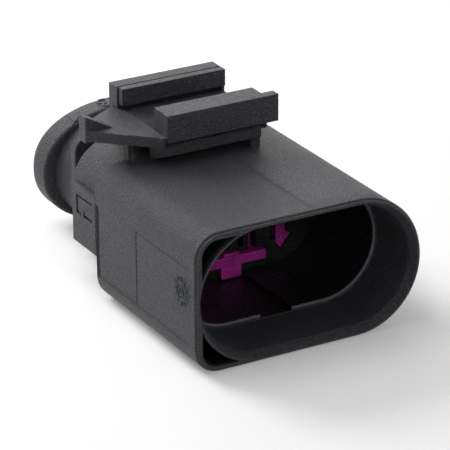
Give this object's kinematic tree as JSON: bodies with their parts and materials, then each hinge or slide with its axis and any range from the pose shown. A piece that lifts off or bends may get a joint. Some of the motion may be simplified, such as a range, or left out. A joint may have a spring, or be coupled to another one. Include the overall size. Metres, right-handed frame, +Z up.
{
  "type": "sealed eight-way connector housing",
  "caption": "Sealed oval connector housing for blade contacts: plug shroud, wire collar, mounting bracket and a push-in secondary lock.",
  "frame": {"origin": "centre of the shroud's mouth, in the plane of its rim", "axes": "+Y along the connector's axis from the mouth to the wire end, +Z up towards the bracket, +X towards the round side"},
  "size_m": [0.0336, 0.0535, 0.0259],
  "materials": {
    "housing_plastic": "black glass-filled nylon with a fine spark-eroded grain",
    "lock_plastic": "purple polyester, satin"
  },
  "bodies": {
    "housing_body": {"housing": "housing_plastic"},
    "lock_body": {"secondary_lock": "lock_plastic"}
  },
  "joints": [
    {"name": "lock_slide", "type": "slide", "parent": "housing_body", "child": "lock_body", "axis": [0, 1, 0], "range_m": [0, 0.0016]}
  ]
}
